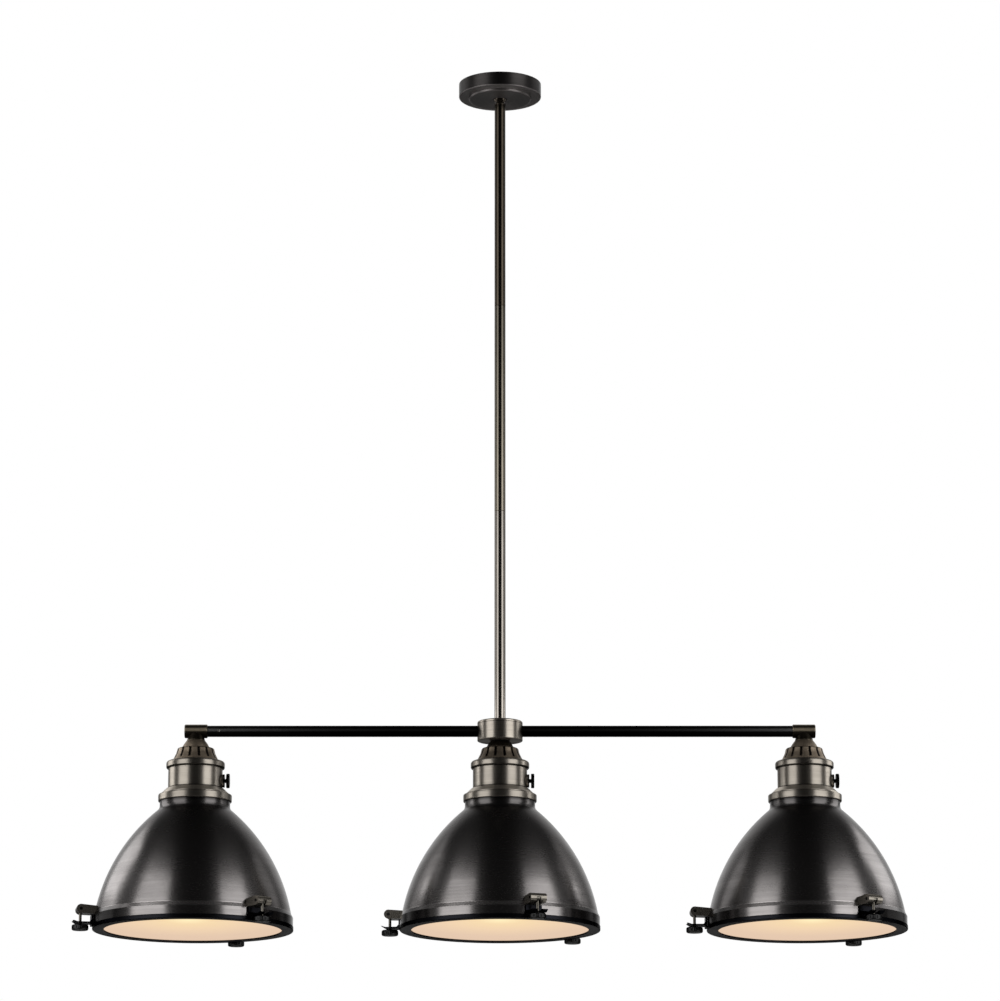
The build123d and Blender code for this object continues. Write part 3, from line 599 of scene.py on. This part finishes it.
def shade_painted_light(tree):
    """Painted light and shade: darker towards the bell's top and at the neck, a painted highlight on the
    flare, and painted shade on the hem and where the flare and the hem turn away.
    """
    place = height(tree)
    bell = spread(tree, place, BELL_LOW_Z, BELL_TOP_Z, 1.0, BELL_TOP_SHADE_LEVEL)
    flare_low = BELL_FOOT_Z - FLARE_FADE_BELOW
    flare = spread(tree, place, flare_low, BELL_FOOT_Z + FLARE_FADE_ABOVE, FLARE_HIGHLIGHT_LEVEL, 1.0)
    hem = spread(tree, place, HEM_TOP_Z - HEM_FADE, HEM_TOP_Z + HEM_FADE, HEM_SHADE_LEVEL, 1.0)
    neck = spread(tree, place, NECK_Z - NECK_FADE, NECK_Z, 1.0, NECK_SHADE_LEVEL)
    on_flare = math_node(tree, "LESS_THAN", place, BELL_FOOT_Z)
    on_hem = math_node(tree, "LESS_THAN", place, HEM_TOP_Z)
    flare_loss = product(tree, on_flare, turned_away(tree, *FLARE_TURN))
    hem_loss = product(tree, on_hem, turned_away(tree, *HEM_TURN))
    kept = math_node(tree, "SUBTRACT", 1.0, math_node(tree, "MAXIMUM", flare_loss, hem_loss))
    return product(tree, bell, flare, hem, kept, neck)


def hem_polish(tree):
    """The hem is rolled smoother than the bell is spun."""
    low = HEM_TOP_Z - HEM_POLISH_FADE
    return spread(tree, height(tree), low, HEM_TOP_Z + HEM_POLISH_FADE, HEM_POLISH, 1.0)


# Materials of the frame's nodes

canopy_metal = turned_metal(
    "canopy_bronze", colour=(0.055, 0.051, 0.05), roughness=0.4, anisotropy=0.6, dimming=canopy_painted_light
)
# Painted shade up the stem: the rods' colours grow darker from the lowest rod to the top one
rod_upper_shaded = drawn_tube(
    "stem_bronze",
    colour=(0.06, 0.05, 0.038),
    roughness=0.2,
    dimming=rod_painted_shade(joints_above=0, top_level=0.6, foot_level=1.0),
)
rod_middle_shaded = drawn_tube(
    "stem_middle_painted_shade",
    colour=(0.14, 0.125, 0.1),
    roughness=0.18,
    dimming=rod_painted_shade(joints_above=1, top_level=0.55, foot_level=1.4),
)
rod_lower_shaded = drawn_tube(
    "stem_pewter",
    colour=(0.24, 0.22, 0.195),
    roughness=0.16,
    dimming=rod_painted_shade(joints_above=2, top_level=0.85, foot_level=1.25),
)
hub_metal = turned_metal(
    "hub_pewter",
    colour=shade_of(PEWTER_COLOUR, HUB_PALENESS),
    roughness=0.33,
    anisotropy=0.75,
    along=HUB_RING_ALONG,
    edge=0.5,
    dimming=hub_dimming,
)
arm_metal = bar_metal(
    "arm_black",
    colour=(0.006, 0.006, 0.006),
    roughness=0.4,
    anisotropy=0.8,
    edge=0.3,
    dimming=arm_painted_light,
)
fitting_metal = bar_metal(
    "fitting_bronze", colour=(0.21, 0.178, 0.13), roughness=0.36, anisotropy=0.85, dimming=fitting_painted_shade
)
crown_metal = coated_metal(
    "crown_bronze", colour=(0.16, 0.13, 0.098), roughness=0.5, contrast=0.45, dimming=crown_painted_shade
)
housing_metal = turned_metal(
    "housing_pewter", colour=PEWTER_COLOUR, roughness=0.33, edge=0.5, dimming=housing_painted_light
)
shade_metal = turned_metal(
    "shade_bronze",
    colour=(0.192, 0.181, 0.178),
    roughness=0.26,
    anisotropy=0.6,
    edge=0.7,
    dimming=shade_painted_light,
    polish=hem_polish,
)
ring_metal = turned_metal(
    "lens_ring_bronze", colour=(0.012, 0.0125, 0.015), roughness=0.34, anisotropy=0.5, edge=0.3
)
bolt_metal = coated_metal("bolt_nickel", colour=(0.15, 0.14, 0.12), roughness=0.14, bump=0.02, edge=0.3)
bracket_metal = coated_metal(
    "bracket_nickel", colour=(0.23, 0.21, 0.18), roughness=0.2, metallic=0.86, bump=0.02, edge=0.3
)
nut_metal = coated_metal("nut_black", colour=(0.03, 0.03, 0.03), roughness=0.25, bump=0.02, edge=0.3)
knob_metal = coated_metal("knob_black", colour=(0.008, 0.008, 0.008), roughness=0.3, edge=0.3)
swivel_metal = coated_metal("swivel_bronze", colour=(0.09, 0.075, 0.06), roughness=0.25)
zinc = coated_metal("zinc_plate", colour=(0.6, 0.59, 0.55), roughness=0.35)
screw_metal = coated_metal("set_screw_nickel", colour=(0.5, 0.49, 0.46), roughness=0.3, bump=0.02)
socket_plastic = coated_metal("socket_plastic", colour=(0.03, 0.03, 0.03), roughness=0.5, metallic=0.0)
bulb_glass = coated_metal(
    "bulb_glass", colour=(0.9, 0.86, 0.78), roughness=0.35, metallic=0.0, contrast=0.03
)
lens_glass = lit_glass("frosted_glass")

ZINC_NODES = (
    "ceiling_crossbar",
    "crossbar_screws",
    "swivel_lock_nut",
    "swivel_pin",
    "lock_nuts",
    "threaded_",
)
FINISHES = (
    (canopy_metal, ("canopy",)),
    (rod_upper_shaded, ("rod_upper",)),
    (rod_middle_shaded, ("rod_middle",)),
    (rod_lower_shaded, ("rod_lower",)),
    (hub_metal, ("hub_",)),
    (arm_metal, ("arm_",)),
    (fitting_metal, ("end_fitting_",)),
    (crown_metal, ("crown_",)),
    (housing_metal, ("housing_",)),
    (shade_metal, ("shade_",)),
    (ring_metal, ("lens_ring_",)),
    (bolt_metal, ("swing_bolt_",)),
    (bracket_metal, ("clamp_brackets",)),
    (nut_metal, ("thumb_nut_", "clamp_pins")),
    (knob_metal, ("switch_",)),
    (swivel_metal, ("swivel_fork", "swivel_tongue")),
    (zinc, ZINC_NODES),
    (socket_plastic, ("lamp_holders",)),
    (bulb_glass, ("bulbs",)),
    (lens_glass, ("glass_",)),
)
for material, prefixes in FINISHES:
    for name, node in nodes.items():
        if name.startswith(prefixes):
            node.data.materials.clear()
            node.data.materials.append(material)


# Set screw in the left arm, with a dished socket

def screw_mesh():
    """Rings of points about the screw's axis, joined by bands of faces."""
    points = []
    faces = []
    for radius, stand in SET_SCREW_RINGS:
        for side in range(SET_SCREW_SIDES):
            angle = 2 * pi * side / SET_SCREW_SIDES
            across = SET_SCREW_X + radius * cos(angle)
            points.append((across, ARM_FRONT_Y - stand, BAR_Z + radius * sin(angle)))
    for ring in range(len(SET_SCREW_RINGS) - 1):
        inner = ring * SET_SCREW_SIDES
        outer = inner + SET_SCREW_SIDES
        for side in range(SET_SCREW_SIDES):
            following = (side + 1) % SET_SCREW_SIDES
            faces.append((inner + side, inner + following, outer + following, outer + side))
    mesh = bpy.data.meshes.new("set_screw")
    mesh.from_pydata(points, [], faces)
    mesh.materials.append(screw_metal)
    return mesh


set_screw = bpy.data.objects.new("set_screw", screw_mesh())
bpy.context.scene.collection.objects.link(set_screw)
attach(set_screw, "hanging_frame")


# Studio: a pale floor far below, soft lamps on four sides and behind the end heads, and a white background

def floor_material():
    """A pale floor that fades out towards its rim and can't be seen from below."""
    material, tree, shader = new_material("floor_pale")
    shader.inputs["Base Color"].default_value = FLOOR_COLOUR
    shader.inputs["Roughness"].default_value = FLOOR_ROUGHNESS
    reach = vector_math(tree, "LENGTH", object_coords(tree, (1.0, 1.0, 0.0))).outputs["Value"]
    cover = spread(tree, reach, FLOOR_FADE, FLOOR_RADIUS, 1.0, 0.0)
    geometry = tree.nodes.new("ShaderNodeNewGeometry")
    top = math_node(tree, "SUBTRACT", 1.0, geometry.outputs["Backfacing"])
    tree.links.new(product(tree, cover, top), shader.inputs["Alpha"])
    return material


def add_softbox(place, target, box_width, box_height, radiance):
    """A rectangular lamp that faces its target and that the camera doesn't see."""
    lamp = bpy.data.lights.new("softbox", "AREA")
    lamp.shape = "RECTANGLE"
    lamp.size = box_width
    lamp.size_y = box_height
    lamp.energy = radiance * pi * box_width * box_height
    box = bpy.data.objects.new("softbox", lamp)
    box.location = place
    box.rotation_euler = (Vector(target) - Vector(place)).to_track_quat("-Z", "Y").to_euler()
    box.visible_camera = False
    bpy.context.scene.collection.objects.link(box)


def mirrored_level(sky):
    """What metal mirrors: dark in front, a little light at the sides, and white behind and above."""
    coords = sky.nodes.new("ShaderNodeTexCoord")
    direction = axes(sky, coords.outputs["Generated"])
    behind = math_node(sky, "MULTIPLY_ADD", direction["Z"], BACKDROP_RISE, direction["Y"])
    backdrop = spread(sky, behind, BACKDROP_START, BACKDROP_END, FRONT_LEVEL, BACKDROP_LEVEL)
    aside = math_node(sky, "ABSOLUTE", direction["X"])
    return math_node(sky, "ADD", backdrop, spread(sky, aside, SIDE_START, 1.0, 0.0, SIDE_LEVEL))


def add_background(sky, level):
    """A white background of a level that is a number or a socket."""
    background = sky.nodes.new("ShaderNodeBackground")
    background.inputs["Color"].default_value = WHITE
    if isinstance(level, float):
        background.inputs["Strength"].default_value = level
    else:
        sky.links.new(level, background.inputs["Strength"])
    return background.outputs[0]


def mix_shaders(sky, factor, first, second):
    """A mix of two shaders by a factor."""
    mix = sky.nodes.new("ShaderNodeMixShader")
    sky.links.new(factor, mix.inputs["Fac"])
    sky.links.new(first, mix.inputs[1])
    sky.links.new(second, mix.inputs[2])
    return mix.outputs[0]


def white_world():
    """Surroundings that the camera and glass see as white, that metal mirrors, and that fill the shadows."""
    world = bpy.data.worlds.new("studio")
    world.use_nodes = True
    sky = world.node_tree
    sky.nodes.clear()
    path = sky.nodes.new("ShaderNodeLightPath")
    white_rays = math_node(sky, "MAXIMUM", path.outputs["Is Camera Ray"], path.outputs["Is Transmission Ray"])
    fill = add_background(sky, FILL_LEVEL)
    mirrored = add_background(sky, mirrored_level(sky))
    unseen = mix_shaders(sky, path.outputs["Is Glossy Ray"], fill, mirrored)
    surface = mix_shaders(sky, white_rays, unseen, add_background(sky, 1.0))
    output = sky.nodes.new("ShaderNodeOutputWorld")
    sky.links.new(surface, output.inputs["Surface"])
    return world


bpy.ops.mesh.primitive_circle_add(
    radius=FLOOR_RADIUS, vertices=FLOOR_SIDES, fill_type="NGON", location=(0, 0, FLOOR_Z)
)
floor = bpy.context.object
floor.name = "floor"
floor.data.materials.append(floor_material())

for turn, box_width, box_height, radiance in SOFTBOXES:
    across = SOFTBOX_DISTANCE * sin(radians(turn))
    along = -SOFTBOX_DISTANCE * cos(radians(turn))
    add_softbox((across, along, STUDIO_CENTRE_Z), (0, 0, STUDIO_CENTRE_Z), box_width, box_height, radiance)
for mirror in (Vector((-1, 1, 1)), Vector((1, 1, 1))):
    place = mirror * Vector(EDGE_BOX_PLACE)
    target = mirror * Vector(EDGE_BOX_TARGET)
    add_softbox(place, target, EDGE_BOX_WIDTH, EDGE_BOX_HEIGHT, EDGE_BOX_RADIANCE)

bpy.context.scene.world = white_world()

# Camera at the photograph's angle, looking up from below

camera_data = bpy.data.cameras.new("camera")
camera_data.lens = CAMERA_LENS_MM
camera = bpy.data.objects.new("camera", camera_data)
camera.location = (0, -CAMERA_DISTANCE, CAMERA_Z)
camera.rotation_euler = (radians(90 + CAMERA_PITCH), 0, 0)
bpy.context.scene.collection.objects.link(camera)
bpy.context.scene.camera = camera
bpy.context.scene.view_settings.view_transform = "Standard"
